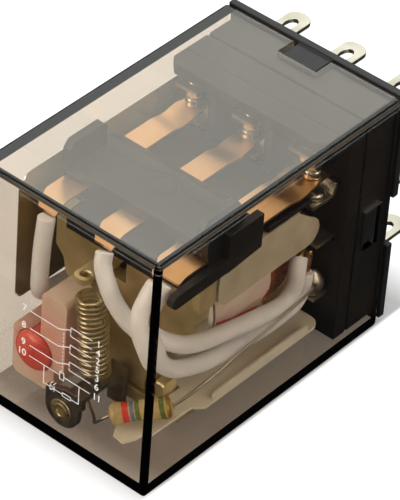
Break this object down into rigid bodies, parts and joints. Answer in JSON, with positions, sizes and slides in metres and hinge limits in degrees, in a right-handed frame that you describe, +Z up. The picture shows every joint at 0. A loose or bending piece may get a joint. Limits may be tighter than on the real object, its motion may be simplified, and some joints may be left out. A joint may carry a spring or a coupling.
{
  "type": "industrial control relay",
  "caption": "Plug-in control relay in a clear smoked case with flat blade terminals: coil, hinged armature, changeover contacts, return spring and red indicator light",
  "frame": {"origin": "middle of the bounding box, on the surface that the relay lies on", "axes": "+Z up; +Y the way the terminals point; +X across the narrow side, with the terminals at the back and the closed contacts on top"},
  "size_m": [0.0216, 0.042, 0.0276],
  "materials": {
    "black_moulding": "fine satin moulding",
    "smoked_plastic": "clear, lightly smoked, glossy",
    "label_foil": "blank satin foil sticker",
    "tinned_metal": "tinned, satin",
    "silver_contact": "polished",
    "copper_spring": "bright copper alloy",
    "passivated_steel": "yellow passivated",
    "core_iron": "plain iron",
    "spring_wire": "drawn wire",
    "white_nylon": "translucent white moulding",
    "enamelled_wire": "dark lacquer",
    "coil_tape": "milky tape",
    "white_sleeve": "smooth tubing",
    "red_lens": "tinted clear resin",
    "resistor_shell": "glossy lacquer"
  },
  "bodies": {
    "housing": {"cover": "smoked_plastic", "side_label": "label_foil", "base": "black_moulding", "contact_block": "black_moulding", "terminal_nc_1": "tinned_metal", "terminal_nc_2": "tinned_metal", "terminal_nc_3": "tinned_metal", "terminal_no_4": "tinned_metal", "terminal_no_5": "tinned_metal", "terminal_no_6": "tinned_metal", "terminal_com_7": "tinned_metal", "terminal_com_8": "tinned_metal", "terminal_com_9": "tinned_metal", "terminal_coil_10": "tinned_metal", "terminal_coil_11": "tinned_metal", "contact_nc_1": "silver_contact", "contact_nc_2": "silver_contact", "contact_nc_3": "silver_contact", "contact_no_1": "silver_contact", "contact_no_2": "silver_contact", "contact_no_3": "silver_contact", "yoke": "passivated_steel", "core": "core_iron", "shading_ring": "copper_spring", "bobbin": "white_nylon", "coil_winding": "enamelled_wire", "coil_tape": "coil_tape", "coil_shield": "white_nylon", "yoke_insulator": "white_nylon", "return_spring": "spring_wire", "spring_anchor": "passivated_steel", "anchor_eyelet": "spring_wire", "indicator_light": "red_lens", "light_holder": "white_nylon", "light_lead_1": "tinned_metal", "light_lead_2": "tinned_metal", "resistor": "resistor_shell", "resistor_lead": "tinned_metal", "lead_sleeve_left": "white_sleeve", "lead_sleeve_middle": "white_sleeve", "lead_sleeve_right": "white_sleeve", "lead_wire_left": "copper_spring", "lead_wire_middle": "copper_spring", "lead_wire_right": "copper_spring", "coil_lead_1": "enamelled_wire", "coil_lead_2": "enamelled_wire", "solder_joint_10": "tinned_metal", "solder_joint_11": "tinned_metal"},
    "armature_group": {"armature": "passivated_steel", "armature_carrier": "black_moulding", "moving_spring_1": "copper_spring", "moving_spring_2": "copper_spring", "moving_spring_3": "copper_spring", "moving_contact_1": "silver_contact", "moving_contact_2": "silver_contact", "moving_contact_3": "silver_contact"}
  },
  "joints": [
    {"name": "armature_hinge", "type": "hinge", "parent": "housing", "child": "armature_group", "pos_m": [0, -0.01165, 0.0035], "axis": [-1, 0, 0], "range_deg": [0, 2.86], "stiffness_Nm_per_rad": 0.02, "springref_deg": -11.46, "deforming": ["return_spring"]}
  ]
}
